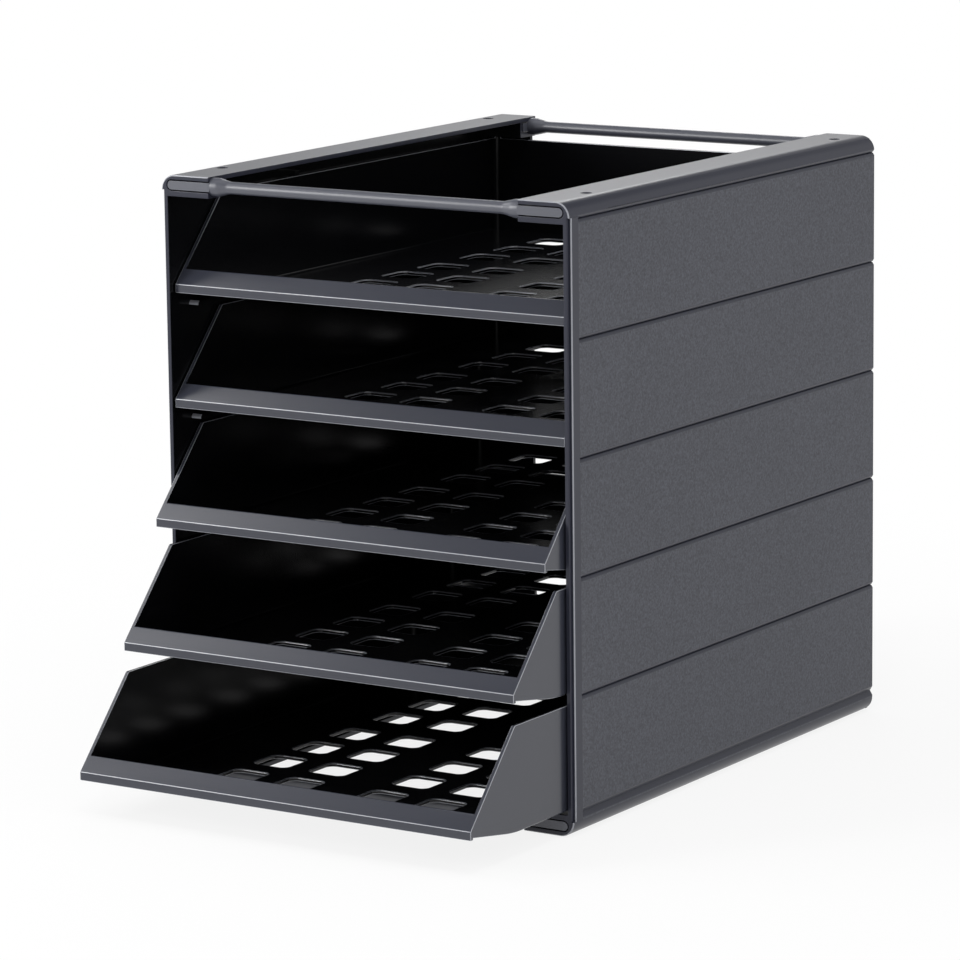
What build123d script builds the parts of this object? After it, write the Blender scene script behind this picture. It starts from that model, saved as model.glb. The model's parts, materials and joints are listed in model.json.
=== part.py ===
from build123d import *
from math import cos, radians, sin, tan
import os

# Desk drawer tower: two side panels of C section, four cross bars that plug into
# sockets at the ends of their flanges, and five open-fronted drawers on moulded runners.
#
# Millimetres. +X is to the right, +Y to the back, +Z up. The origin lies on the ground,
# in the middle of the four foot holes.

os.makedirs("parts", exist_ok=True)

# ---- Driving dimensions ------------------------------------------------------------

# Frame
frame_width = 250.0            # over both side panels
frame_depth = 320.0            # front plane to rear plane
wall = 3.6                     # side panel
wall_round = 8.0               # outer long edges, top and bottom
flange_width = 30.0            # top and bottom flange, from the outer face
flange_thickness = 2.5
rear_flange_width = 28.0       # upright flange at the back, from the outer face
rear_flange_thickness = 2.6

# Decoration of the outer face
front_border = 9.0             # smooth band in front of the grooves
groove_width = 3.2
groove_depth = 1.0
top_groove_drop = 9.0          # first groove below the top
foot_groove_width = 5.0        # the lowest groove is wider
foot_groove_depth = 1.5
rabbet_width = 1.4             # step along the outer front corner
rabbet_depth = 2.2

# Sockets at the flange ends, and the cross bars in them
socket_depth = 16.0            # along Y
socket_lip = 2.9               # web on the inner side of the slot
slot_height = 5.9
slot_end_wall = 3.2            # outer face to the slot's round end
slot_back_wall = 1.4
tongue_clearance = 0.6         # all round the tongue
bar_diameter = 6.4
collar_diameter = 9.6
collar_length = 4.0
taper_length = 7.0

# Stacking holes through the flanges
stack_hole_diameter = 6.0
stack_hole_inset = 12.5        # outer face to the holes
stack_hole_front = 37.0        # front plane to the first pair
stack_hole_rear = 23.0         # rear plane to the second pair

# Drawers
drawer_count = 5
drawer_pitch = 60.75
drawer_gap = 5.75              # rim of one drawer to the underside of the next
drawer_wall = 2.0
drawer_floor = 2.0
side_clearance = 0.9           # drawer to panel, each side
corner_round = 5.0             # upright rear corners, outside
floor_edge_round = 1.5         # inside, along the side walls
floor_rear_round = 4.0         # inside, along the rear wall
keel_round = 1.0               # outside, along the side walls
front_lean = 42.6              # degrees, sloped front edge from the vertical
nose_height = 9.9              # front edge above the underside
nose_drop = 1.0                # the nose hangs below the side walls' front corner
nose_thickness = 2.2
nose_round = 0.8
lip_length = 10.6              # along the slope
rim_round = 2.0                # top corner of the sloped side wall
ramp_angle = 9.4               # degrees, floor rising to the nose
ramp_length = 41.0
ramp_round = 120.0

# Openings in the drawer floor: four columns in two pairs, rows in two groups
hole_size = 22.0
hole_corner = 2.6              # corners cut across; the mould has them as small rounds
hole_column_near = 26.2        # middle of the drawer to the inner columns
hole_column_pitch = 35.4
hole_first_row = 61.5          # nose to the first row
hole_row_pitch = 35.0
hole_rows_front = 4            # rows in the front group; the rear group fills the rest
hole_row_gap = 42.0            # between the two groups, centre to centre
hole_rear_margin = 12.0        # least floor between the last row and the rear wall

# Runners and stops
runner_width = 6.0
runner_thickness = 2.4
runner_clearance = 0.3         # drawer underside to runner
runner_setback = 17.0          # front plane to the runner's tip
runner_lead_in = 1.2
ground_headroom = 1.8          # lowest drawer above the bottom sockets
top_headroom = 1.9             # top drawer below the top sockets
ear_height = 1.4               # above the rear wall's rim
ear_width = 6.0
stop_length = 3.0
stop_clearance = 0.6           # rim to stop
stop_gap = 0.5                 # ear to stop, drawer fully out
closed_setback = 4.0           # nose behind the front plane, drawer closed
rear_gap = 2.4                 # drawer to rear flange, drawer closed
pull_out = 200.0               # full travel from closed

# How far each drawer stands open, from the top one down; any further ones are closed
rest_pull = (0.0, 2.5, 22.0, 52.5, 93.0)

# Helper sizes, which leave no trace in the finished pieces
overlap = 0.5                  # how deep joined shapes run into each other
cut_margin = 5.0               # how far cutting shapes run past the piece
pick = 0.01                    # band around a coordinate, to choose the points on it

# ---- Sizes that follow -------------------------------------------------------------

half_width = frame_width / 2
inner_face = half_width - wall
flange_edge = half_width - flange_width
stack_hole_x = half_width - stack_hole_inset
stack_hole_y = (frame_depth - stack_hole_front - stack_hole_rear) / 2
front_y = -(stack_hole_front + stack_hole_y)
rear_y = front_y + frame_depth

socket_height = flange_thickness + slot_height + socket_lip
slot_axis_drop = flange_thickness + slot_height / 2
slot_end = half_width - slot_end_wall

lowest_drawer_z = socket_height + ground_headroom
drawer_height = drawer_pitch - drawer_gap
top_rim_z = lowest_drawer_z + (drawer_count - 1) * drawer_pitch + drawer_height
frame_height = top_rim_z + top_headroom + socket_height

drawer_half_width = inner_face - side_clearance
drawer_length = frame_depth - rear_flange_thickness - rear_gap - closed_setback
ear_front = drawer_length - stop_length
stop_rear = closed_setback - pull_out + ear_front - stop_gap

lean = radians(front_lean)
ramp_slope = tan(radians(ramp_angle))


def drawer_base(index):
    """Underside of a drawer above the ground; 0 is the top drawer."""
    return lowest_drawer_z + (drawer_count - 1 - index) * drawer_pitch


# ---- Side panel --------------------------------------------------------------------

groove_heights = [frame_height - top_groove_drop - k * drawer_pitch for k in range(drawer_count)]
foot_groove_z = frame_height - top_groove_drop - drawer_count * drawer_pitch


def groove_outline(z, width, depth):
    """V notch into the outer face, drawn in X and Z."""
    return [(half_width + depth, z + width), (half_width - depth, z), (half_width + depth, z - width)]


with BuildPart() as side_panel:
    # C section, open towards the drawers
    with BuildSketch(Plane.XZ.offset(-front_y)):
        with BuildLine():
            Polyline(
                (flange_edge, 0),
                (half_width, 0),
                (half_width, frame_height),
                (flange_edge, frame_height),
                (flange_edge, frame_height - flange_thickness),
                (inner_face, frame_height - flange_thickness),
                (inner_face, flange_thickness),
                (flange_edge, flange_thickness),
                close=True,
            )
        make_face()
        fillet(vertices().filter_by_position(Axis.X, half_width - pick, half_width + pick), wall_round)
        fillet(vertices().filter_by_position(Axis.X, inner_face - pick, inner_face + pick),
               wall_round - wall)
    extrude(amount=-frame_depth)

    # Upright flange along the back edge
    with BuildSketch(Plane.XY.offset(flange_thickness / 2)):
        with BuildLine():
            Polyline(
                (half_width - rear_flange_width, rear_y - rear_flange_thickness),
                (inner_face + overlap, rear_y - rear_flange_thickness),
                (inner_face + overlap, rear_y),
                (half_width - rear_flange_width, rear_y),
                close=True,
            )
        make_face()
    extrude(amount=frame_height - flange_thickness)

    # Solid ends of both flanges, which carry the sockets
    for end_y in (front_y, rear_y - socket_depth):
        with BuildSketch(Plane.XZ.offset(-end_y)):
            for low_z in (flange_thickness - overlap, frame_height - socket_height):
                high_z = low_z + socket_height - flange_thickness + overlap
                with BuildLine():
                    Polyline(
                        (flange_edge, low_z),
                        (inner_face + overlap, low_z),
                        (inner_face + overlap, high_z),
                        (flange_edge, high_z),
                        close=True,
                    )
                make_face()
        extrude(amount=-socket_depth)

    # Slots for the bars' tongues, open to the end face and towards the middle
    slot_radius = slot_height / 2
    slot_length = socket_depth - slot_back_wall
    for slot_start, direction in ((front_y, -1), (rear_y, 1)):
        with BuildSketch(Plane.XZ.offset(-slot_start)):
            for axis_z in (slot_axis_drop, frame_height - slot_axis_drop):
                with Locations(((flange_edge + slot_end) / 2 - slot_radius, axis_z)):
                    SlotOverall(slot_end - flange_edge + 2 * slot_radius, slot_height)
        extrude(amount=direction * slot_length, mode=Mode.SUBTRACT)

    # Runners, and the stops that the drawers' ears meet
    with BuildSketch(Plane.YZ.offset(inner_face - runner_width)):
        for index in range(drawer_count):
            runner_top = drawer_base(index) - runner_clearance
            tip_y = front_y + runner_setback
            with BuildLine():
                Polyline(
                    (tip_y, runner_top - runner_lead_in),
                    (tip_y + runner_lead_in, runner_top),
                    (rear_y - rear_flange_thickness / 2, runner_top),
                    (rear_y - rear_flange_thickness / 2, runner_top - runner_thickness),
                    (tip_y, runner_top - runner_thickness),
                    close=True,
                )
            make_face()
            stop_low = drawer_base(index) + drawer_height + stop_clearance
            stop_high = runner_top + drawer_pitch - runner_thickness + overlap
            with BuildLine():
                Polyline(
                    (front_y + stop_rear - stop_length, stop_low),
                    (front_y + stop_rear, stop_low),
                    (front_y + stop_rear, stop_high),
                    (front_y + stop_rear - stop_length, stop_high),
                    close=True,
                )
            make_face()
    extrude(amount=runner_width + overlap)

    # Grooves that divide the outer face, one to each drawer
    with BuildSketch(Plane.XZ.offset(-(front_y + front_border))):
        for z in groove_heights:
            with BuildLine():
                Polyline(*groove_outline(z, groove_width, groove_depth), close=True)
            make_face()
        with BuildLine():
            Polyline(*groove_outline(foot_groove_z, foot_groove_width, foot_groove_depth), close=True)
        make_face()
    extrude(amount=-frame_depth, mode=Mode.SUBTRACT)

    # Step along the outer front corner
    with BuildSketch(Plane.XY.offset(wall_round)):
        with Locations((half_width, front_y)):
            Rectangle(2 * rabbet_width, 2 * rabbet_depth)
    extrude(amount=frame_height - 2 * wall_round, mode=Mode.SUBTRACT)

    # Stacking holes through the bottom and the top flange
    for low_z in (-flange_thickness, frame_height - 2 * flange_thickness):
        with BuildSketch(Plane.XY.offset(low_z)):
            with Locations((stack_hole_x, -stack_hole_y), (stack_hole_x, stack_hole_y)):
                Circle(stack_hole_diameter / 2)
        extrude(amount=3 * flange_thickness, mode=Mode.SUBTRACT)

panel_right = side_panel.part
panel_right.label = "side_panel_right"
export_step(panel_right, "parts/side_panel_right.step")

panel_left = mirror(panel_right, about=Plane.YZ)
panel_left.label = "side_panel_left"
export_step(panel_left, "parts/side_panel_left.step")

# ---- Cross bar ---------------------------------------------------------------------

bar_radius = bar_diameter / 2
collar_radius = collar_diameter / 2
tongue_radius = slot_height / 2 - tongue_clearance
tongue_end = slot_end - tongue_clearance
tongue_depth = slot_length - tongue_clearance

with BuildPart() as cross_bar:
    # Round bar with a collar at each end, turned about X
    with BuildSketch(Plane.XY):
        with BuildLine():
            Polyline(
                (0, 0),
                (0, bar_radius),
                (flange_edge - collar_length - taper_length, bar_radius),
                (flange_edge - collar_length, collar_radius),
                (flange_edge, collar_radius),
                (flange_edge, 0),
                close=True,
            )
        make_face()
    revolve(axis=Axis.X)

    # Flat tongue that fills the socket, flush with the collar's front
    with BuildSketch(Plane.XZ.offset(collar_radius)):
        with BuildLine():
            Polyline(
                (tongue_end - tongue_radius, tongue_radius),
                (flange_edge - overlap, tongue_radius),
                (flange_edge - overlap, -tongue_radius),
                (tongue_end - tongue_radius, -tongue_radius),
            )
            ThreePointArc(
                (tongue_end - tongue_radius, -tongue_radius),
                (tongue_end, 0),
                (tongue_end - tongue_radius, tongue_radius),
            )
        make_face()
    extrude(amount=-tongue_depth)
    mirror(about=Plane.YZ)

# The collars lie flush with the frame's front and rear planes
bar_places = {
    "cross_bar_top_front": (front_y + collar_radius, frame_height - slot_axis_drop, 0),
    "cross_bar_top_rear": (rear_y - collar_radius, frame_height - slot_axis_drop, 180),
    "cross_bar_bottom_front": (front_y + collar_radius, slot_axis_drop, 0),
    "cross_bar_bottom_rear": (rear_y - collar_radius, slot_axis_drop, 180),
}
for name, (y, z, turn) in bar_places.items():
    bar = cross_bar.part.moved(Location((0, y, z), (0, 0, turn)))
    bar.label = name
    export_step(bar, f"parts/{name}.step")

# ---- Drawer ------------------------------------------------------------------------
# Drawn with its nose at Y 0 and its underside at Z 0.


def on_slope(along, behind):
    """A point by its distance along the sloped front edge, and behind it."""
    return (along * sin(lean) + behind * cos(lean),
            nose_height + along * cos(lean) - behind * sin(lean))


def under_ramp(y):
    """Height of the floor's underside under the ramp."""
    return (ramp_length - y) * ramp_slope


slope_length = (drawer_height - nose_height) / cos(lean)
ramp_floor = drawer_floor / cos(radians(ramp_angle))
floor_bend = ramp_length + drawer_floor * tan(radians(ramp_angle) / 2)

# Where the inside of the lip meets the rising floor
lip_root = (
    ((ramp_length - drawer_wall * cos(lean)) * ramp_slope + ramp_floor
     - nose_height + drawer_wall * sin(lean))
    / (cos(lean) + sin(lean) * ramp_slope)
)
nose_foot_z = under_ramp(nose_thickness) - nose_drop
hollow_top = drawer_height + ear_height + cut_margin
hollow_rear = drawer_length - drawer_wall
hollow_half = drawer_half_width - drawer_wall
lip_tip = lip_length - drawer_wall / 2
last_hole_row = hollow_rear - hole_rear_margin - hole_size / 2


def hole_rows():
    """Distances from the nose, as many as the floor takes before the rear wall."""
    rows = []
    place = hole_first_row
    while place <= last_hole_row:
        rows.append(place)
        place += hole_row_gap if len(rows) == hole_rows_front else hole_row_pitch
    return rows


hole_columns = [side * (hole_column_near + k * hole_column_pitch) for side in (-1, 1) for k in (0, 1)]

with BuildPart() as hollow:
    # Side view of the space inside: floor, ramp, round-ended lip, open above it
    with BuildSketch(Plane.YZ):
        with BuildLine():
            Polyline(
                on_slope(lip_tip, 0),
                on_slope(lip_tip, -nose_height),
                (on_slope(lip_tip, -nose_height)[0], hollow_top),
                (hollow_rear, hollow_top),
                (hollow_rear, drawer_floor),
                (floor_bend, drawer_floor),
                on_slope(lip_root, drawer_wall),
                on_slope(lip_tip, drawer_wall),
            )
            ThreePointArc(
                on_slope(lip_tip, drawer_wall),
                on_slope(lip_length, drawer_wall / 2),
                on_slope(lip_tip, 0),
            )
        make_face()
        bends = vertices().filter_by_position(Axis.Y, drawer_floor - pick, drawer_floor + pick)
        fillet(bends.sort_by(Axis.X)[0], ramp_round - drawer_floor)
        fillet(bends.sort_by(Axis.X)[-1], floor_rear_round)
    extrude(amount=hollow_half, both=True)

    # Front view: rounded along both side walls
    with BuildSketch(Plane.XZ.offset(drawer_length)):
        with BuildLine():
            Polyline(
                (-hollow_half, drawer_floor),
                (hollow_half, drawer_floor),
                (hollow_half, hollow_top),
                (-hollow_half, hollow_top),
                close=True,
            )
        make_face()
        fillet(vertices().group_by(Axis.Y)[0], floor_edge_round)
    extrude(amount=-3 * drawer_length, mode=Mode.INTERSECT)

    # Top view: rounded rear corners
    with BuildSketch(Plane.XY):
        with BuildLine():
            Polyline(
                (-hollow_half, -drawer_length),
                (hollow_half, -drawer_length),
                (hollow_half, hollow_rear),
                (-hollow_half, hollow_rear),
                close=True,
            )
        make_face()
        fillet(vertices().group_by(Axis.Y)[-1], corner_round - drawer_wall)
    extrude(amount=2 * hollow_top, mode=Mode.INTERSECT)

with BuildPart() as drawer:
    # Side view of the outside
    with BuildSketch(Plane.YZ):
        with BuildLine():
            Polyline(
                (0, nose_foot_z),
                (0, nose_height),
                on_slope(slope_length, 0),
                (drawer_length, drawer_height),
                (drawer_length, 0),
                (ramp_length, 0),
                (nose_thickness, under_ramp(nose_thickness)),
                (nose_thickness, nose_foot_z),
                close=True,
            )
        make_face()
        fillet(vertices().filter_by_position(Axis.X, -pick, pick).sort_by(Axis.Y)[-1], nose_round)
        fillet(vertices().group_by(Axis.Y)[-1].sort_by(Axis.X)[0], rim_round)
        fillet(vertices().group_by(Axis.Y)[0].sort_by(Axis.X)[0], ramp_round)
    extrude(amount=drawer_half_width, both=True)

    # Ears on the rim, at the rear corners
    for ear_x in (-drawer_half_width, drawer_half_width - ear_width):
        with BuildSketch(Plane.YZ.offset(ear_x)):
            with Locations((drawer_length - stop_length / 2, drawer_height)):
                Rectangle(stop_length, 2 * ear_height)
        extrude(amount=ear_width)

    # Front view: rounded keels
    with BuildSketch(Plane.XZ.offset(drawer_length)):
        with BuildLine():
            Polyline(
                (-drawer_half_width, 0),
                (drawer_half_width, 0),
                (drawer_half_width, hollow_top),
                (-drawer_half_width, hollow_top),
                close=True,
            )
        make_face()
        fillet(vertices().group_by(Axis.Y)[0], keel_round)
    extrude(amount=-3 * drawer_length, mode=Mode.INTERSECT)

    # Top view: rounded rear corners
    with BuildSketch(Plane.XY):
        with BuildLine():
            Polyline(
                (-drawer_half_width, -drawer_length),
                (drawer_half_width, -drawer_length),
                (drawer_half_width, drawer_length),
                (-drawer_half_width, drawer_length),
                close=True,
            )
        make_face()
        fillet(vertices().group_by(Axis.Y)[-1], corner_round)
    extrude(amount=2 * hollow_top, mode=Mode.INTERSECT)

    add(hollow.part, mode=Mode.SUBTRACT)

    # Openings in the floor
    with BuildSketch(Plane.XY.offset(-drawer_floor)):
        with Locations(*[(x, y) for x in hole_columns for y in hole_rows()]):
            Rectangle(hole_size, hole_size)
        chamfer(vertices(), hole_corner)
    extrude(amount=3 * drawer_floor, mode=Mode.SUBTRACT)

for index in range(drawer_count):
    pull = rest_pull[index] if index < len(rest_pull) else 0.0
    nose_y = front_y + closed_setback - pull
    tray = drawer.part.moved(Location((0, nose_y, drawer_base(index))))
    tray.label = f"drawer_{index + 1}"
    export_step(tray, f"parts/drawer_{index + 1}.step")

print(f"frame {frame_width} x {frame_depth} x {frame_height}, drawer length {drawer_length}")
print(f"front plane Y {front_y}, rear plane Y {rear_y}, nose foot {nose_foot_z:.2f}")
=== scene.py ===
# %% [markdown]
# # Letter tray stack: looks
#
# The construction is already made: two side panels, four cross bars and five drawers, each a
# solid at its real size. This script dresses them. It loads the solids, turns each one into a
# clean shell with softened edges, gives the charcoal plastic its finishes, and sets up the
# studio: a white floor, soft lights and the camera.

# %% Load the frame
import json
import math

import bmesh
import bpy
from mathutils import Matrix, Vector

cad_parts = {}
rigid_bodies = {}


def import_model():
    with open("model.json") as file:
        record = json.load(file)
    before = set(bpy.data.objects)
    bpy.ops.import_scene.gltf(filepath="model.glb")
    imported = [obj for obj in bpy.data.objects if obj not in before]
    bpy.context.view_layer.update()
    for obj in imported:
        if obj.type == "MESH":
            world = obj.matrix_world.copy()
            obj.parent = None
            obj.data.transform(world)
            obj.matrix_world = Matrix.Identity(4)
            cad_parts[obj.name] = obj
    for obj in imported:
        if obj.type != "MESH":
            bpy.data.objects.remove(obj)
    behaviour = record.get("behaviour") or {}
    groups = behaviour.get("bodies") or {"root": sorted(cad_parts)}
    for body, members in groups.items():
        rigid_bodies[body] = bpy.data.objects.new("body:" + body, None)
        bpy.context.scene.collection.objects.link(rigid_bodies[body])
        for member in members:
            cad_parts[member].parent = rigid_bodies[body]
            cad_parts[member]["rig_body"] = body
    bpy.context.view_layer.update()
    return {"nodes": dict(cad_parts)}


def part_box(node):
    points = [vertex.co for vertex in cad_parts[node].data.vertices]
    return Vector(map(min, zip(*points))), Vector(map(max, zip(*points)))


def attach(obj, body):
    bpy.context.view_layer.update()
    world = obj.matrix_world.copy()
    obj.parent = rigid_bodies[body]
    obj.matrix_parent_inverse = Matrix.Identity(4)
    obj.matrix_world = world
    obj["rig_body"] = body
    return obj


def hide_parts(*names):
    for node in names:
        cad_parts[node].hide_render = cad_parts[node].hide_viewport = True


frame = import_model()

MM = 0.001


# %% Sort the solids by kind
def nodes_named(start):
    """The names of the solids that begin with the given word, in order."""
    return sorted(name for name in frame["nodes"] if name.startswith(start))


DRAWERS = nodes_named("drawer_")
BARS = nodes_named("cross_bar_")
PANELS = nodes_named("side_panel_")
panel_low, panel_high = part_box("side_panel_right")
print(len(DRAWERS), "drawers,", len(BARS), "bars,", len(PANELS), "panels")
print("right panel from", panel_low, "to", panel_high)

# %% [markdown]
# ## From solid to shell
#
# A solid arrives as loose triangles. It could be shaded as it is, but every edge would then be
# a knife edge, and a moulded part never has one: the steel it comes from is slightly broken at
# each corner, and that is what draws the fine bright lines along rims and openings. So a copy
# is merged, its flat facets are joined again, and its outer edges get a small bevel. A face
# with holes in it can't be one polygon, so it is first cut along lines through the middle of
# its holes. Those cuts stay as seams, square to every rim that the bevel has to follow.

# %% Copy, merge and simplify
MERGE_DISTANCE = 0.005 * MM
FLAT_ANGLE = math.radians(0.4)


def flatten(shell, verts, edges, angle):
    """Joins neighbouring faces that turn by less than the angle, except across a seam."""
    bmesh.ops.dissolve_limit(
        shell, angle_limit=angle, verts=verts[:], edges=edges[:],
        use_dissolve_boundaries=False, delimit={"SEAM"},
    )


def clean_copy(node, cuts):
    """The node's mesh as a bmesh with shared corners and whole flat faces, kept apart at the cuts."""
    shell = bmesh.new()
    shell.from_mesh(frame["nodes"][node].data)
    bmesh.ops.remove_doubles(shell, verts=shell.verts, dist=MERGE_DISTANCE)
    for place, direction in cuts:
        cut = bmesh.ops.bisect_plane(
            shell, geom=shell.verts[:] + shell.edges[:] + shell.faces[:], dist=MERGE_DISTANCE,
            plane_co=place, plane_no=direction,
        )
        for part in cut["geom_cut"]:
            if isinstance(part, bmesh.types.BMEdge):
                part.seam = True
    flatten(shell, shell.verts, shell.edges, FLAT_ANGLE)
    return shell


def cuts_at(xs=(), ys=()):
    """Cutting planes square to the x and y axes, through the given places."""
    planes = []
    for direction, places in ((Vector((1, 0, 0)), xs), (Vector((0, 1, 0)), ys)):
        planes += [(direction * place, direction) for place in places]
    return planes


# %% [markdown]
# ## Softened edges
#
# A Bevel modifier could round every edge alike, but here the rims of openings, the front of a
# panel and the collar of a bar each need a width of their own, and some of the rounds get a
# material of their own too, most of them a pale colour that is painted highlight. So the bevel
# operator works on chosen edges, one group at a time.
# Most of them stick out. Of the inner ones only the groove roots and the corners of openings
# are shaped, and the rest stay crisp, where a round hardly shows.

# %% Soften the outer edges
SHARP_ANGLE = math.radians(28)
BEVEL_STEPS = 2


def outer_edges(shell):
    """Edges that stick out and turn by more than the sharp angle."""
    return [e for e in shell.edges
            if e.is_manifold and e.is_convex and e.calc_face_angle(0) > SHARP_ANGLE]


def soften(shell, edges, width, steps=BEVEL_STEPS, slot=None):
    """Rounds the given edges; the round may get a material slot. Returns the corners it made."""
    made = bmesh.ops.bevel(
        shell, geom=edges, offset=width, offset_type="OFFSET", segments=steps, profile=0.5,
        affect="EDGES", clamp_overlap=False, material=-1, loop_slide=True,
    )
    if slot is not None:
        for face in made["faces"]:
            face.material_index = slot
    return made["verts"]


# %% [markdown]
# ## From shell to object
#
# The shell is shaded smooth, so that each round looks like a round. On its own that would bend
# the light over the large flat faces beside it too. Splitting the mesh at every edge would stop
# this and lose the rounds. The Weighted Normal modifier keeps both: the large faces decide how
# the light falls at their corners, and sharp inner corners stay sharp.

# %% Turn a shell into an object
FLAT_FACE_WEIGHT = 80


def to_object(shell, node):
    """Makes the object that stands for the node, smooth over rounds and crisp at inner corners."""
    for face in shell.faces:
        face.smooth = True
    for edge in shell.edges:
        edge.smooth = not edge.is_manifold or edge.calc_face_angle(0) < SHARP_ANGLE
    mesh = bpy.data.meshes.new(node + "_shell")
    shell.to_mesh(mesh)
    shell.free()
    piece = bpy.data.objects.new(node + "_shell", mesh)
    bpy.context.scene.collection.objects.link(piece)
    weighted = piece.modifiers.new("flat faces stay flat", "WEIGHTED_NORMAL")
    weighted.keep_sharp = True
    weighted.weight = FLAT_FACE_WEIGHT
    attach(piece, frame["nodes"][node]["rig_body"])
    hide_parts(node)
    print(piece.name, len(mesh.polygons), "faces")
    return piece


# %% [markdown]
# ## Side panels: the root of each groove
#
# A side panel is one moulding of C section: a wall with a top, bottom and rear flange. Five
# shallow V grooves cross its outer face, one to each drawer, and each ends in a thin dark line
# at its root. A dark stripe could be painted there, but it would stay dark from every side. So
# the line at the root is split in three by a narrow bevel, and the middle one sinks into the
# wall. Light hardly reaches it, as on the real panel. The wider groove at the foot stays as it is.

# %% Sink the root of each groove
GROOVE_DEPTH = 1.0 * MM
ROOT_WIDTH = 0.30 * MM
ROOT_DEPTH = 0.7 * MM
PLACE_ROOM = 0.06 * MM
SHORTEST_GROOVE = 20.0 * MM


def groove_bottoms(shell, outer_x):
    """The long inner edges that lie one groove's depth inside the outer face."""
    def at_bottom(vert):
        return abs(abs(vert.co.x) - outer_x + GROOVE_DEPTH) < PLACE_ROOM

    return [e for e in shell.edges
            if not e.is_convex and at_bottom(e.verts[0]) and at_bottom(e.verts[1])
            and e.calc_length() > SHORTEST_GROOVE]


def sharpen_grooves(shell, outer_x):
    """Gives each groove a narrow root: its bottom line is split in three and the middle sinks."""
    bottoms = groove_bottoms(shell, outer_x)
    heights = {round(e.verts[0].co.z, 5) for e in bottoms}
    made = soften(shell, bottoms, ROOT_WIDTH)
    middle = [v for v in made if any(abs(v.co.z - z) < PLACE_ROOM for z in heights)]
    side = math.copysign(1.0, middle[0].co.x)
    bmesh.ops.translate(shell, verts=middle, vec=(-side * ROOT_DEPTH, 0, 0))
    print("groove roots at mm", sorted(round(z / MM, 1) for z in heights), len(middle), "corners sunk")


# %% [markdown]
# ## Side panels: the front outline
#
# A pale line follows the front of each panel, where its front face meets the outer skin: up the
# wall, round the long rounds at foot and top, and along the flanges. It is a painted highlight
# that stands in for the light this edge catches. Its edges are found by the way their two faces
# look, one to the front and one outwards, so that they can have a wider round and the pale
# colour of the painted highlight.

# %% Find the front outline
FACE_ROOM = 0.05 * MM
OUTLINE_REACH = 2.4 * MM
LONG_ROUND = 8.1 * MM
LOOKS_ALONG = 0.9
LOOKS_ACROSS = 0.1


def is_outline(edge, outer_x):
    """True for an edge between a panel's front and its side, long rounds, top or foot."""
    middle = (edge.verts[0].co + edge.verts[1].co) / 2
    front = [f for f in edge.link_faces if f.normal.y < -LOOKS_ALONG]
    skin = [f for f in edge.link_faces if abs(f.normal.y) < LOOKS_ACROSS]
    if middle.y > panel_low.y + OUTLINE_REACH or len(front) != 1 or len(skin) != 1:
        return False
    outward = skin[0].normal.x * math.copysign(1.0, middle.x)
    upward = skin[0].normal.z * math.copysign(1.0, middle.z - panel_high.z / 2)
    to_end = min(middle.z, panel_high.z - middle.z)
    on_side = abs(middle.x) > outer_x - FACE_ROOM and outward > LOOKS_ALONG
    near_corner = to_end < LONG_ROUND and abs(middle.x) > outer_x - LONG_ROUND
    on_round = near_corner and outward + upward > LOOKS_ALONG
    on_end = to_end < FACE_ROOM and upward > LOOKS_ALONG
    return on_side or on_round or on_end


def front_outline(shell, outer_x):
    """The outer edges that make a panel's front outline."""
    return [edge for edge in outer_edges(shell) if is_outline(edge, outer_x)]


# %% [markdown]
# ## Panel shells
#
# The flanges have round holes for stacking, so each panel is cut along lines through their
# middles. Then come the groove roots, the wide round of the front outline, and last the fine
# round of every outer edge that is left. The wide round could not follow the fine ones: where
# the two meet, it would have to run over their faces.

# %% Panels
PANEL_EDGE = 0.30 * MM
OUTLINE_EDGE = 0.60 * MM
OUTLINE_STEPS = 4
STACK_HOLE_INSET = 12.5 * MM
STACK_HOLE_Y = 130.0 * MM
# Slot for the pale colour of the painted highlight on the front outline and runner tips.
PANEL_PAINTED_HIGHLIGHT = 3


def make_panel(node):
    """The shell of one side panel."""
    outer_x = max(abs(corner.x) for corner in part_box(node))
    hole_x = math.copysign(outer_x - STACK_HOLE_INSET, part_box(node)[0].x)
    shell = clean_copy(node, cuts_at(xs=[hole_x], ys=[-STACK_HOLE_Y, STACK_HOLE_Y]))
    sharpen_grooves(shell, outer_x)
    outline = front_outline(shell, outer_x)
    # The wide round of the outline gets the painted highlight.
    soften(shell, outline, OUTLINE_EDGE, OUTLINE_STEPS, PANEL_PAINTED_HIGHLIGHT)
    print(node, len(outline), "edges in the front outline")
    soften(shell, outer_edges(shell), PANEL_EDGE)
    return to_object(shell, node)


panel_pieces = [make_panel(node) for node in PANELS]

# %% [markdown]
# ## Cross bars
#
# The bars are plain turned shapes with a flat tongue at each end, and they hold the panels
# apart. Their collars are thin, so their edges get a smaller round than the panels'. A cut
# through the middle halves the long facets of the round bar.

# %% Bars
BAR_EDGE = 0.12 * MM


def make_bar(node):
    """The shell of one cross bar."""
    shell = clean_copy(node, cuts_at(xs=[0.0]))
    soften(shell, outer_edges(shell), BAR_EDGE)
    return to_object(shell, node)


bar_pieces = [make_bar(node) for node in BARS]

# %% [markdown]
# ## Drawers: lines through the openings
#
# The floor of each drawer has rows of square openings, four in front of a wider bar and three
# behind it. One polygon can't hold them, and loose triangles would spoil the bevel at their
# rims. So the floor is cut along the middle of every row and column, and each piece of floor
# is then a plain outline round its share of the openings.

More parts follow.
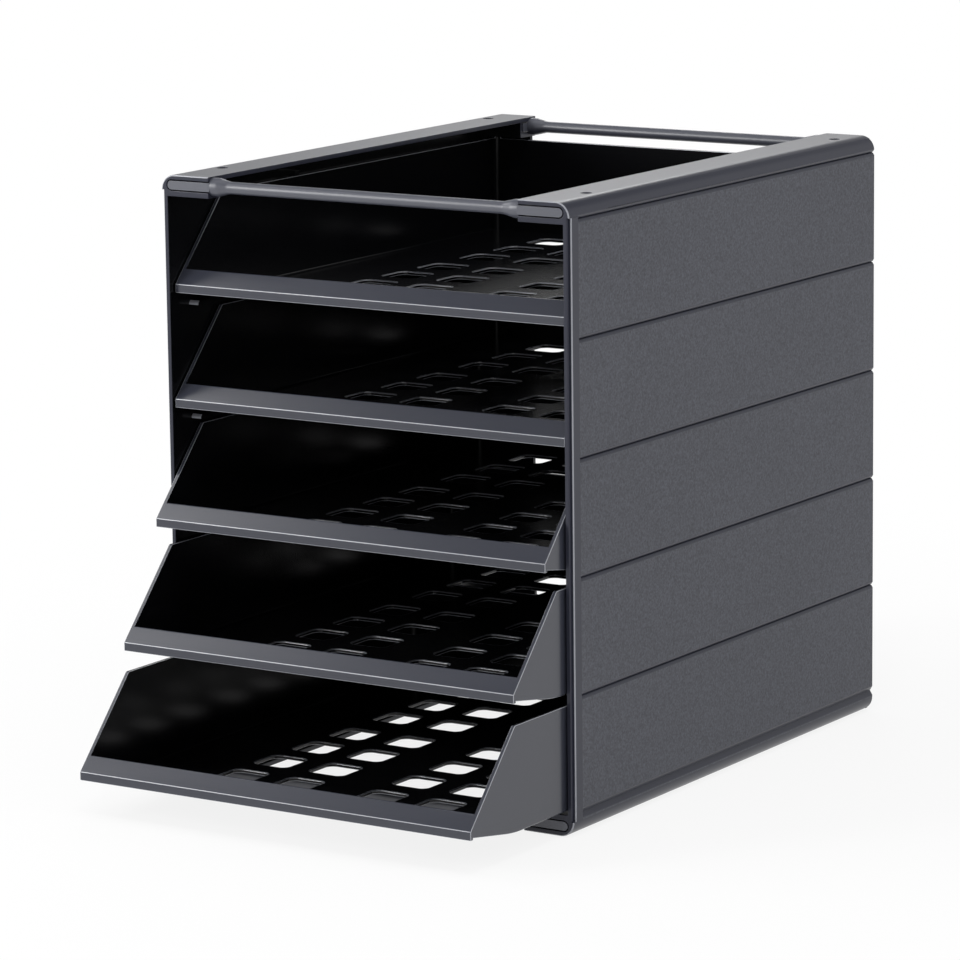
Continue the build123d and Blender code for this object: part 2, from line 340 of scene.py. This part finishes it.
# %% Places of the rows and columns
HOLE_COLUMNS = [side * x * MM for side in (-1, 1) for x in (26.2, 61.6)]
HOLE_FIRST_ROW = 61.5 * MM
HOLE_ROW_PITCH = 35.0 * MM
HOLE_ROW_GAP = 42.0 * MM
ROWS_IN_FRONT = 4
ROWS_BEHIND = 3
last_front_row = HOLE_FIRST_ROW + (ROWS_IN_FRONT - 1) * HOLE_ROW_PITCH
HOLE_ROWS = [HOLE_FIRST_ROW + k * HOLE_ROW_PITCH for k in range(ROWS_IN_FRONT)]
HOLE_ROWS += [last_front_row + HOLE_ROW_GAP + k * HOLE_ROW_PITCH for k in range(ROWS_BEHIND)]
print("rows from the nose, mm:", [round(y / MM, 1) for y in HOLE_ROWS])

# %% [markdown]
# ## Drawers: the end of the ramp
#
# Towards the nose the floor rises in a curved ramp. The line where the ramp ends runs through
# the front of the first row of openings, where it would disturb the bevel of their rims. The
# bend at that line is too slight to see. So the floor is joined across it, and a new seam is
# cut a little further forward, clear of the openings.

# %% Move the end of the ramp off the first row
RAMP_END = 50.87 * MM
NEW_RAMP_END = 48.6 * MM
RAMP_END_ROOM = 0.15 * MM
RAMP_STEP_ANGLE = math.radians(4.0)


def free_first_row(shell, nose_y):
    """Joins the floor across the line where the ramp ends, so that only the new seam is left."""
    band = [v for v in shell.verts if abs(v.co.y - nose_y - RAMP_END) < RAMP_END_ROOM]
    inside = set(band)
    edges = [e for e in shell.edges if e.verts[0] in inside and e.verts[1] in inside]
    flatten(shell, band, edges, RAMP_STEP_ANGLE)


# %% [markdown]
# ## Drawers: openings with round corners
#
# The corners of the openings are small rounds in the mould, and the solid only cuts them
# across. Each upright edge at such a corner is bevelled, which turns the straight cut into a
# curve. The edges are found by their height, which is the floor's, and by their angle.

# %% Find the corners of the openings
FLOOR_THICKNESS = 2.0 * MM
HOLE_CORNER_BEVEL = 1.35 * MM
HOLE_CORNER_STEPS = 4
CORNER_ANGLE = math.radians(45)
ANGLE_ROOM = math.radians(4)
HEIGHT_ROOM = 0.1 * MM


def hole_corner_edges(shell, floor_z):
    """Upright inner edges through the floor that turn by half a right angle."""
    found = []
    for edge in shell.edges:
        low, high = sorted(v.co.z - floor_z for v in edge.verts)
        spans_floor = abs(low) < HEIGHT_ROOM and abs(high - FLOOR_THICKNESS) < HEIGHT_ROOM
        turn = edge.calc_face_angle(0)
        if spans_floor and abs(turn - CORNER_ANGLE) < ANGLE_ROOM and not edge.is_convex:
            found.append(edge)
    return found


# %% Find the rims of the openings
WALL_REACH = 8.0 * MM


def is_near_wall(vert, low, high):
    """True for a corner near the drawer's walls or ramp, where no opening is."""
    near_side = high.x - abs(vert.co.x) < WALL_REACH
    near_rear = high.y - vert.co.y < WALL_REACH
    return near_side or near_rear or vert.co.y - low.y < RAMP_END / 2


def upper_rims(shell, low, high):
    """Outer edges on the upper side of the floor, round the openings."""
    top = low.z + FLOOR_THICKNESS

    def on_floor(vert):
        return abs(vert.co.z - top) < HEIGHT_ROOM and not is_near_wall(vert, low, high)

    return [e for e in outer_edges(shell) if on_floor(e.verts[0]) and on_floor(e.verts[1])]


# %% [markdown]
# ## Drawers: the nose
#
# The round along the top of the nose is pale: a painted highlight that stands in for the bright
# line of light it catches. A line could be drawn there with a mask in the material, but the
# round is already in the solid as faces of its own. So these faces only change their material
# slot.

# %% Find the round of the nose
# Slot for the pale colour of the painted highlight on the nose and the drawers' edges.
DRAWER_PAINTED_HIGHLIGHT = 2
NOSE_HEIGHT = 9.9 * MM
NOSE_ROUND_REACH = 1.3 * MM


def is_nose_round(face, low):
    """True for a face of the round on top of the nose, which looks up and to the front."""
    centre = face.calc_center_median()
    near_front = centre.y - low.y < NOSE_ROUND_REACH
    near_top = abs(centre.z - low.z - NOSE_HEIGHT) < NOSE_ROUND_REACH
    leans = face.normal.y < -LOOKS_ACROSS and face.normal.z > LOOKS_ACROSS
    return near_front and near_top and leans and abs(face.normal.x) < LOOKS_ACROSS


def paint_nose_highlight(shell, low):
    """Gives the round along the top of the nose the pale colour of a painted highlight."""
    for face in shell.faces:
        if is_nose_round(face, low):
            face.material_index = DRAWER_PAINTED_HIGHLIGHT


# %% [markdown]
# ## Drawer shells
#
# The rims of the openings get a round that is wide enough to catch the light: the far rims are
# what glints in the photograph. They have a slot of their own for their polish. Every other
# outer edge gets a finer round in the pale colour of a painted highlight. One width for all
# would be too coarse for the thin walls or too fine for the glints.

# %% Drawers
DRAWER_EDGE = 0.30 * MM
RIM_ROUND = 0.50 * MM
RIM_STEPS = 3
DRAWER_RIMS = 3


def make_drawer(node):
    """The shell of one drawer."""
    low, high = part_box(node)
    planes = cuts_at(xs=HOLE_COLUMNS, ys=[low.y + y for y in HOLE_ROWS] + [low.y + NEW_RAMP_END])
    shell = clean_copy(node, planes)
    free_first_row(shell, low.y)
    paint_nose_highlight(shell, low)
    corners = hole_corner_edges(shell, low.z)
    soften(shell, corners, HOLE_CORNER_BEVEL, HOLE_CORNER_STEPS)
    rims = upper_rims(shell, low, high)
    soften(shell, rims, RIM_ROUND, RIM_STEPS, DRAWER_RIMS)
    # Every other outer edge is rounded and gets the painted highlight.
    soften(shell, outer_edges(shell), DRAWER_EDGE, BEVEL_STEPS, DRAWER_PAINTED_HIGHLIGHT)
    print(node, len(corners), "corner edges,", len(rims), "rim edges")
    return to_object(shell, node)


drawer_pieces = [make_drawer(node) for node in DRAWERS]

# %% [markdown]
# ## Finishes
#
# Everything is the same charcoal plastic, but it is given seven looks: spark texture, satin,
# and a polish each for the bars, the drawers' outside and the rims of their openings, then a
# near black for the insides, which is painted shade, and a pale colour on the edges, which is
# painted highlight. A picture of plastic could be wrapped round each piece, but it would need
# unwrapping and would blur close up. Instead the grain and the uneven colour are made once as
# node groups, and each material gives them its own values.

# %% Helpers for node groups
def new_group(name, inputs, outputs):
    """A shader node group with named sockets; an input is (name, kind, default)."""
    group = bpy.data.node_groups.new(name, "ShaderNodeTree")
    for label, kind, value in inputs:
        socket = group.interface.new_socket(label, in_out="INPUT", socket_type=kind)
        if value is not None:
            socket.default_value = value
    for label, kind in outputs:
        group.interface.new_socket(label, in_out="OUTPUT", socket_type=kind)
    enter = group.nodes.new("NodeGroupInput")
    leave = group.nodes.new("NodeGroupOutput")
    return group, enter, leave


def math_node(tree, operation, a, b):
    """A Math node whose inputs are sockets or numbers."""
    node = tree.nodes.new("ShaderNodeMath")
    node.operation = operation
    for socket, value in zip(node.inputs, (a, b)):
        if hasattr(value, "is_linked"):
            tree.links.new(value, socket)
        else:
            socket.default_value = value
    return node.outputs[0]


def noise_node(tree, vector, scale, detail, roughness=0.5):
    """A Noise Texture on the given coordinates."""
    node = tree.nodes.new("ShaderNodeTexNoise")
    node.inputs["Scale"].default_value = scale
    node.inputs["Detail"].default_value = detail
    node.inputs["Roughness"].default_value = roughness
    tree.links.new(vector, node.inputs["Vector"])
    return node.outputs["Fac"]


# %% [markdown]
# ## Grain of the mould
#
# The outer face of a panel comes from steel that sparks have eroded, so it is covered in tight
# grains that gather into soft patches. Two noises of different size, added together, give such
# a height. The same group with almost no depth gives the smooth faces their last trace of
# unevenness.

# %% Spark texture: fine grains and soft patches
GRAIN_SCALE = 2100.0
GRAIN_DETAIL = 2.0
GRAIN_ROUGHNESS = 0.6
PATCH_SCALE = 620.0
PATCH_DETAIL = 1.0


def spark_texture():
    """Height of a fine eroded surface: tight grains, gathered into soft patches."""
    group, enter, leave = new_group(
        "spark texture",
        [("Vector", "NodeSocketVector", None), ("Patches", "NodeSocketFloat", 0.5)],
        [("Height", "NodeSocketFloat")],
    )
    vector = enter.outputs["Vector"]
    grain = noise_node(group, vector, GRAIN_SCALE, GRAIN_DETAIL, GRAIN_ROUGHNESS)
    patches = noise_node(group, vector, PATCH_SCALE, PATCH_DETAIL)
    patches = math_node(group, "MULTIPLY", patches, enter.outputs["Patches"])
    group.links.new(math_node(group, "ADD", grain, patches), leave.inputs["Height"])
    return group


spark_group = spark_texture()
print(spark_group.name, "has", len(spark_group.nodes), "nodes")

# %% [markdown]
# ## Uneven colour
#
# Moulded plastic is never one flat colour. It has broad, faint clouds from the way the melt
# flowed, and a textured face has a fine speckle. A colour ramp could mix several tones. Here
# one colour is made a little lighter or darker by two noises around zero, so that each finish
# keeps its own tone.

# %% Moulded colour: soft flow clouds and fine speckle
CLOUD_SCALE = 9.0
CLOUD_DETAIL = 3.0
SPECKLE_SCALE = 900.0
SPECKLE_DETAIL = 1.0
NOISE_MIDDLE = 0.5


def around_zero(group, noise, amount):
    """A noise moved to lie around zero, times the amount that a socket gives."""
    return math_node(group, "MULTIPLY", math_node(group, "SUBTRACT", noise, NOISE_MIDDLE), amount)


def moulded_colour():
    """The plastic's colour, slightly uneven as moulded plastic is."""
    group, enter, leave = new_group(
        "moulded colour",
        [("Vector", "NodeSocketVector", None), ("Colour", "NodeSocketColor", (0.1, 0.1, 0.1, 1)),
         ("Clouds", "NodeSocketFloat", 0.1), ("Speckle", "NodeSocketFloat", 0.1)],
        [("Colour", "NodeSocketColor")],
    )
    vector = enter.outputs["Vector"]
    clouds = noise_node(group, vector, CLOUD_SCALE, CLOUD_DETAIL)
    speckle = noise_node(group, vector, SPECKLE_SCALE, SPECKLE_DETAIL)
    clouds = around_zero(group, clouds, enter.outputs["Clouds"])
    speckle = around_zero(group, speckle, enter.outputs["Speckle"])
    gain = math_node(group, "ADD", math_node(group, "ADD", clouds, speckle), 1.0)
    scale = group.nodes.new("ShaderNodeVectorMath")
    scale.operation = "SCALE"
    group.links.new(enter.outputs["Colour"], scale.inputs[0])
    group.links.new(gain, scale.inputs["Scale"])
    group.links.new(scale.outputs[0], leave.inputs["Colour"])
    return group


colour_group = moulded_colour()
print(colour_group.name, "has", len(colour_group.nodes), "nodes")

# %% [markdown]
# ## One builder for all finishes
#
# Every finish is the same plastic: the uneven colour and the grain feed one plain shader, and
# only the numbers differ. Each material could be built by hand, but then a change to the
# plastic would have to be made seven times.

# %% The material builder
def place_group(tree, group, where, values):
    """Places a node group in a material, on the given coordinates and with its own values."""
    node = tree.nodes.new("ShaderNodeGroup")
    node.node_tree = group
    tree.links.new(where, node.inputs["Vector"])
    for label, value in values.items():
        node.inputs[label].default_value = value
    return node


def plastic(name, colour, roughness, specular, grain_depth,
            clouds=0.08, speckle=0.05, patches=0.8):
    """A moulded plastic: uneven colour, a grain in its relief, and a plain shader."""
    material = bpy.data.materials.new(name)
    material.use_nodes = True
    tree = material.node_tree
    shader = tree.nodes["Principled BSDF"]
    shader.inputs["Roughness"].default_value = roughness
    shader.inputs["Specular IOR Level"].default_value = specular
    where = tree.nodes.new("ShaderNodeTexCoord").outputs["Object"]
    hue = place_group(tree, colour_group, where,
                      {"Colour": (*colour, 1), "Clouds": clouds, "Speckle": speckle})
    spark = place_group(tree, spark_group, where, {"Patches": patches})
    bump = tree.nodes.new("ShaderNodeBump")
    bump.inputs["Strength"].default_value = 1.0
    bump.inputs["Distance"].default_value = grain_depth
    tree.links.new(hue.outputs["Colour"], shader.inputs["Base Color"])
    tree.links.new(spark.outputs["Height"], bump.inputs["Height"])
    tree.links.new(bump.outputs["Normal"], shader.inputs["Normal"])
    print(name, "roughness", roughness, "grain", round(grain_depth / MM, 4), "mm deep")
    return material


# %% [markdown]
# ## Finishes of the frame
#
# The textured face scatters light evenly and hides finger marks. Its speckle is strong, and it
# is the only one with a deep grain. The flanges, rounds and front band are satin, smooth enough
# to show a soft reflection. The bars shine more and are a little paler.

# %% Texture, satin and bars
textured = plastic(
    "charcoal_textured", (0.070, 0.073, 0.089), roughness=0.60, specular=0.42,
    grain_depth=0.07 * MM, clouds=0.16, speckle=1.40, patches=0.6,
)
satin = plastic(
    "charcoal_satin", (0.029, 0.031, 0.047), roughness=0.30, specular=0.30,
    grain_depth=0.004 * MM,
)
bar_finish = plastic(
    "charcoal_bar", (0.074, 0.078, 0.100), roughness=0.36, specular=0.80,
    grain_depth=0.004 * MM,
)

# %% [markdown]
# ## Finishes of the drawers
#
# The outside of a drawer is glossier than the frame. The rims of its openings are the smoothest
# of all, so that each one glints. The inside is written darker than the outside, although the
# real plastic is one colour, because the photograph shows the insides as nearly black. That
# near black is painted shade.

# %% Drawer outside, rims and inside
drawer_outside = plastic(
    "charcoal_drawer", (0.036, 0.039, 0.054), roughness=0.23, specular=0.60,
    grain_depth=0.003 * MM,
)
rims_finish = plastic(
    "charcoal_rims", (0.018, 0.019, 0.024), roughness=0.13, specular=1.00,
    grain_depth=0.001 * MM,
)
# Painted shade: a near black for the insides of the drawers and the panels' inner sides.
inside = plastic(
    "charcoal_inside_painted_shade", (0.003, 0.0032, 0.0040), roughness=0.20, specular=0.25,
    grain_depth=0.001 * MM,
)

# %% [markdown]
# ## Painted highlight on the edges
#
# The pale edges stand in for the bright lines of light that the rounds catch, so their colour
# is painted highlight. Such a line could be worked out in the shader from how sharply the
# surface bends. Here the rounds have a material slot of their own already, so a plain, pale
# plastic is enough, and the line keeps its place exactly.

# %% Painted highlight on the edges
painted_highlight = plastic(
    "charcoal_painted_highlight", (0.330, 0.340, 0.380), roughness=0.26, specular=0.80,
    grain_depth=0.003 * MM, clouds=0.30, speckle=0.10,
)

# %% [markdown]
# ## Which face of a panel gets which finish
#
# Only the flat outer face behind the front band carries the spark texture. The side towards the
# drawers is near black, which is painted shade, the front ends of the runners are pale, which
# is a painted highlight, and everything else is satin. The faces are chosen by where they lie,
# and each finish is a material slot, so the border between two finishes is as crisp as in the
# mould.
# Where the front band ends there is no edge yet, so the outer face is cut there first.

# %% Tell the faces of a panel apart
FRONT_BAND = 9.0 * MM
WALL = 3.6 * MM
FLANGE = 2.5 * MM
SOCKET_BELOW = 14.0 * MM
RUNNER_TIP_START = 10.0 * MM
RUNNER_TIP_END = 18.5 * MM
FLANGE_EDGE_ROOM = 0.4 * MM
LOOKS_SIDEWAYS = 0.999
LOOKS_FORWARD = 0.5


def is_outer_face(face):
    """True for the flat outer face of a panel."""
    x = abs(face.calc_center_median().x)
    return abs(face.normal.x) > LOOKS_SIDEWAYS and abs(x - panel_high.x) < FACE_ROOM


def is_runner_tip(face):
    """True for the front end of a runner, which gets the pale colour of a painted highlight."""
    centre = face.calc_center_median()
    between_flanges = panel_low.z + SOCKET_BELOW < centre.z < panel_high.z - SOCKET_BELOW
    proud = abs(centre.x) < panel_high.x - WALL - FACE_ROOM
    ahead = panel_low.y + RUNNER_TIP_START < centre.y < panel_low.y + RUNNER_TIP_END
    return between_flanges and proud and ahead and face.normal.y < -LOOKS_FORWARD


def is_core_side(face):
    """True for the side of a panel that faces the drawers."""
    centre = face.calc_center_median()
    between_flanges = panel_low.z + FLANGE < centre.z < panel_high.z - FLANGE
    on_wall = panel_low.x + FLANGE_EDGE_ROOM < abs(centre.x) < panel_high.x - WALL + FACE_ROOM
    within = panel_low.y + FLANGE_EDGE_ROOM < centre.y < panel_high.y - FLANGE_EDGE_ROOM
    return between_flanges and on_wall and within


# %% Finishes of a panel
PANEL_SATIN = 0
PANEL_TEXTURED = 1
# Slot for the near black of painted shade on the side towards the drawers.
PANEL_PAINTED_SHADE = 2
BAND_END = panel_low.y + FRONT_BAND


def cut_front_band(shell):
    """Cuts the flat outer face where the front band ends."""
    flat = [f for f in shell.faces if is_outer_face(f)]
    edges = {e for f in flat for e in f.edges}
    verts = {v for f in flat for v in f.verts}
    bmesh.ops.bisect_plane(
        shell, geom=flat + list(edges) + list(verts), dist=MERGE_DISTANCE,
        plane_co=(0, BAND_END, 0), plane_no=(0, 1, 0),
    )


def panel_slot(face):
    """The material slot of a panel's face, by where it lies."""
    # The front outline and the runner tips keep the painted highlight.
    if face.material_index == PANEL_PAINTED_HIGHLIGHT:
        return PANEL_PAINTED_HIGHLIGHT
    if face.calc_center_median().y > BAND_END and is_outer_face(face):
        return PANEL_TEXTURED
    if is_runner_tip(face):
        return PANEL_PAINTED_HIGHLIGHT
    return PANEL_PAINTED_SHADE if is_core_side(face) else PANEL_SATIN


def finish_panel(piece):
    """Sorts the faces of a panel into its four finishes."""
    shell = bmesh.new()
    shell.from_mesh(piece.data)
    cut_front_band(shell)
    for face in shell.faces:
        face.material_index = panel_slot(face)
    shell.to_mesh(piece.data)
    shell.free()
    for material in (satin, textured, inside, painted_highlight):
        piece.data.materials.append(material)
    print(piece.name, "has", len(piece.data.materials), "finishes")


for piece in panel_pieces:
    finish_panel(piece)

# %% [markdown]
# ## Finish of the bars
#
# A bar is one finish all over, so its faces need no sorting.

# %% Finish of the bars
for piece in bar_pieces:
    piece.data.materials.append(bar_finish)
    print(piece.name, "is", bar_finish.name)

# %% [markdown]
# ## Which face of a drawer gets which finish
#
# A drawer is one finish outside and another inside, a near black that is painted shade. Its
# faces are sorted by their centres: the outside is the nose, the sloped lip and side edges, the
# upper rims, and the outer skin of the side and rear walls. The slope is a plane, so a face
# counts as on it when it is less than a skin's thickness behind it. The rims of the openings
# and the edges with the painted highlight keep their slots.

# %% Finishes of a drawer
FRONT_LEAN = math.radians(42.6)
NOSE_THICKNESS = 2.2 * MM
SKIN = 0.35 * MM
TOP_RIM = 4 * SKIN
DRAWER_OUTSIDE = 0
DRAWER_PAINTED_SHADE = 1


def is_outside(centre, low, high):
    """True on the outer skin of a drawer: nose, lip, sloped edges, rims, side and rear walls."""
    behind_slope = ((centre.y - low.y) * math.cos(FRONT_LEAN)
                    - (centre.z - low.z - NOSE_HEIGHT) * math.sin(FRONT_LEAN))
    at_front = behind_slope < SKIN or centre.y - low.y < NOSE_THICKNESS
    on_walls = high.x - abs(centre.x) < SKIN or high.y - centre.y < SKIN
    return at_front or on_walls or centre.z > high.z - TOP_RIM


def finish_drawer(piece, node):
    """Sorts the faces of a drawer into its four finishes."""
    low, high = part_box(node)
    for material in (drawer_outside, inside, painted_highlight, rims_finish):
        piece.data.materials.append(material)
    for polygon in piece.data.polygons:
        if polygon.material_index in (DRAWER_PAINTED_HIGHLIGHT, DRAWER_RIMS):
            continue
        # Faces inside get the near black of painted shade.
        skin = is_outside(polygon.center, low, high)
        polygon.material_index = DRAWER_OUTSIDE if skin else DRAWER_PAINTED_SHADE
    print(piece.name, "has", len(piece.data.materials), "finishes")


for piece, node in zip(drawer_pieces, DRAWERS):
    finish_drawer(piece, node)

# %% [markdown]
# ## Floor
#
# The photograph shows the stack on pure white, with a soft pale shadow. A floor that only
# scatters light would turn grey at a distance, and one that only glows would show no shadow.
# So the sheet is a mixture. For the camera and for reflections most of its white is plain near
# the stack, and all of it is further out. Every other ray meets a scattering white sheet.

# %% Helpers for kinds of rays and smooth steps
def ray_kind(tree, *kinds):
    """1 for rays of any of the named kinds, which Light Path tells apart."""
    ray = tree.nodes.new("ShaderNodeLightPath")
    seen = ray.outputs[kinds[0]]
    for kind in kinds[1:]:
        seen = math_node(tree, "MAXIMUM", seen, ray.outputs[kind])
    return seen


def map_range(tree, value, start, end, low, high):
    """A value mapped smoothly from one range to another."""
    node = tree.nodes.new("ShaderNodeMapRange")
    node.interpolation_type = "SMOOTHSTEP"
    for label, number in (("From Min", start), ("From Max", end), ("To Min", low), ("To Max", high)):
        node.inputs[label].default_value = number
    tree.links.new(value, node.inputs["Value"])
    return node.outputs["Result"]


# %% White of the floor
FLOOR_WHITE = 0.93
FLOOR_ROUGHNESS = 0.9
FLOOR_LIFT = 0.86
PLAIN_FROM = 0.25
PLAIN_BEYOND = 0.75


def floor_white():
    """A white that scatters light, lifted towards plain white wherever it is seen directly."""
    material = bpy.data.materials.new("white_floor")
    material.use_nodes = True
    tree = material.node_tree
    shader = tree.nodes["Principled BSDF"]
    shader.inputs["Base Color"].default_value = (FLOOR_WHITE, FLOOR_WHITE, FLOOR_WHITE, 1)
    shader.inputs["Roughness"].default_value = FLOOR_ROUGHNESS
    shader.inputs["Specular IOR Level"].default_value = 0.0
    glow = tree.nodes.new("ShaderNodeEmission")
    where = tree.nodes.new("ShaderNodeTexCoord")
    distance = tree.nodes.new("ShaderNodeVectorMath")
    distance.operation = "LENGTH"
    tree.links.new(where.outputs["Object"], distance.inputs[0])
    lift = map_range(tree, distance.outputs["Value"], PLAIN_FROM, PLAIN_BEYOND, FLOOR_LIFT, 1.0)
    seen = ray_kind(tree, "Is Camera Ray", "Is Glossy Ray", "Is Transmission Ray")
    mix = tree.nodes.new("ShaderNodeMixShader")
    tree.links.new(math_node(tree, "MULTIPLY", lift, seen), mix.inputs["Fac"])
    tree.links.new(shader.outputs[0], mix.inputs[1])
    tree.links.new(glow.outputs[0], mix.inputs[2])
    tree.links.new(mix.outputs[0], tree.nodes["Material Output"].inputs["Surface"])
    return material


# %% Floor sheet
FLOOR_SIZE = 12.0


def white_floor():
    """A flat sheet under the object that keeps a pale shadow."""
    sheet = bmesh.new()
    bmesh.ops.create_grid(sheet, x_segments=1, y_segments=1, size=FLOOR_SIZE / 2)
    mesh = bpy.data.meshes.new("floor")
    sheet.to_mesh(mesh)
    sheet.free()
    floor = bpy.data.objects.new("floor", mesh)
    bpy.context.scene.collection.objects.link(floor)
    floor.data.materials.append(floor_white())
    print("floor", FLOOR_SIZE, "m wide, plain white beyond", PLAIN_BEYOND, "m")


white_floor()

# %% [markdown]
# ## World
#
# The surroundings have three tasks, so they have three strengths. The camera sees plain white.
# Reflections see a pale grey low down and a dark grey higher up, and that change draws the dark
# band along the long round on top of the side panel. As a light the world is weak, so that the
# insides of the drawers stay dark. One even strength for all would wash out the insides or turn
# the background grey.

# %% World
WORLD_LIGHT = 0.45
HORIZON_TOP = 0.36
DARK_FROM = 0.52
LOW_SKY = 0.78
DARK_SKY = 0.14


def studio_world():
    """Plain white for the camera, pale low down and dark above for reflections, weak as a light."""
    world = bpy.data.worlds.new("studio")
    bpy.context.scene.world = world
    world.use_nodes = True
    tree = world.node_tree
    background = tree.nodes["Background"]
    background.inputs["Color"].default_value = (1, 1, 1, 1)
    where = tree.nodes.new("ShaderNodeTexCoord")
    split = tree.nodes.new("ShaderNodeSeparateXYZ")
    tree.links.new(where.outputs["Generated"], split.inputs[0])
    sky = map_range(tree, split.outputs["Z"], HORIZON_TOP, DARK_FROM, LOW_SKY, DARK_SKY)
    camera = ray_kind(tree, "Is Camera Ray")
    mirror = ray_kind(tree, "Is Glossy Ray", "Is Transmission Ray")
    lit = math_node(tree, "SUBTRACT", 1.0, math_node(tree, "MAXIMUM", camera, mirror))
    strength = math_node(tree, "ADD", camera, math_node(tree, "MULTIPLY", mirror, sky))
    strength = math_node(tree, "ADD", strength, math_node(tree, "MULTIPLY", lit, WORLD_LIGHT))
    tree.links.new(strength, background.inputs["Strength"])
    print("world gives", WORLD_LIGHT, "as a light,", LOW_SKY, "to", DARK_SKY, "in reflections")


studio_world()

# %% [markdown]
# ## Lamps
#
# Dark glossy plastic shows little colour of its own. What it shows is the lamps, so each lamp
# stands where one kind of surface mirrors it towards the camera: front left for the upright
# fronts and the noses, high left for the sloped lips, behind on the left for whatever lies
# flat, and a small bright one above the camera for the rounds that face it. The wide ones
# overhead and on the right mostly lighten the top and the panel's outer face. Point lamps would
# give hard dots instead of soft bars of light.

# %% Lamps
CENTRE = Vector((0.0, -0.03, 0.15))


def soft_box(name, azimuth, elevation, distance, width, height, brightness):
    """A rectangular lamp that looks at the object's middle, given by how bright its face is."""
    turn, rise = math.radians(azimuth), math.radians(elevation)
    way = Vector((math.sin(turn) * math.cos(rise), -math.cos(turn) * math.cos(rise), math.sin(rise)))
    lamp = bpy.data.lights.new(name, "AREA")
    lamp.shape = "RECTANGLE"
    lamp.size = width
    lamp.size_y = height
    lamp.energy = brightness * math.pi * width * height
    box = bpy.data.objects.new(name, lamp)
    turned = way.to_track_quat("Z", "Y").to_matrix().to_4x4()
    box.matrix_world = Matrix.Translation(CENTRE + way * distance) @ turned
    bpy.context.scene.collection.objects.link(box)
    share = brightness * width * height / distance ** 2 / math.pi
    print(name, "gives", round(share, 2), "of plain white")


soft_box("lamp_front_left", azimuth=-40, elevation=20, distance=2.0,
         width=0.45, height=0.85, brightness=13.0)
soft_box("lamp_high_left", azimuth=-76, elevation=40, distance=2.0,
         width=0.9, height=0.7, brightness=3.6)
soft_box("lamp_back_left", azimuth=-152, elevation=30, distance=2.0,
         width=0.5, height=0.5, brightness=3.6)
soft_box("lamp_high_front", azimuth=33, elevation=62, distance=2.0,
         width=0.35, height=0.35, brightness=13.0)
soft_box("lamp_overhead", azimuth=0, elevation=89, distance=2.0,
         width=1.8, height=1.8, brightness=0.8)
soft_box("lamp_right", azimuth=105, elevation=30, distance=2.3,
         width=1.3, height=1.3, brightness=1.5)

# %% [markdown]
# ## Camera
#
# A long lens from the front right, a little above the top. Its place could be found by eye, but
# it was found by fitting the stack's known edges to the photograph. So it is given as the
# direction, the distance and the point that it looks at.

# %% Camera
VIEW_AZIMUTH = 32.871
VIEW_ELEVATION = 10.732
VIEW_ROLL = -0.686
VIEW_DISTANCE = 2.578692
LENS_PIXELS = 4754.54
IMAGE_PIXELS = 960
SENSOR = 36.0
AIM = Vector((0.0, -0.007, 0.160))
AIM_RIGHT = -0.027157
AIM_UP = -0.013026
NEAREST = 0.05
FURTHEST = 50.0


def photo_axes():
    """The camera's right, up and back directions at the photograph's angle."""
    azimuth, elevation, roll = (math.radians(v) for v in (VIEW_AZIMUTH, VIEW_ELEVATION, VIEW_ROLL))
    back = Vector((math.sin(azimuth) * math.cos(elevation),
                   -math.cos(azimuth) * math.cos(elevation), math.sin(elevation)))
    level_right = (-back).cross(Vector((0, 0, 1))).normalized()
    level_up = level_right.cross(-back)
    right = math.cos(roll) * level_right + math.sin(roll) * level_up
    up = math.cos(roll) * level_up - math.sin(roll) * level_right
    return right, up, back


def photo_camera():
    """The camera at the photograph's place."""
    right, up, back = photo_axes()
    data = bpy.data.cameras.new("camera")
    data.sensor_width = SENSOR
    data.lens = LENS_PIXELS * SENSOR / IMAGE_PIXELS
    data.clip_start = NEAREST
    data.clip_end = FURTHEST
    camera = bpy.data.objects.new("camera", data)
    turn = Matrix((right, up, back)).transposed().to_4x4()
    place = AIM + AIM_RIGHT * right + AIM_UP * up + VIEW_DISTANCE * back
    camera.matrix_world = Matrix.Translation(place) @ turn
    bpy.context.scene.collection.objects.link(camera)
    bpy.context.scene.camera = camera
    print("lens", round(data.lens, 2), "camera at", place)


photo_camera()
bpy.context.scene.view_settings.view_transform = "Standard"
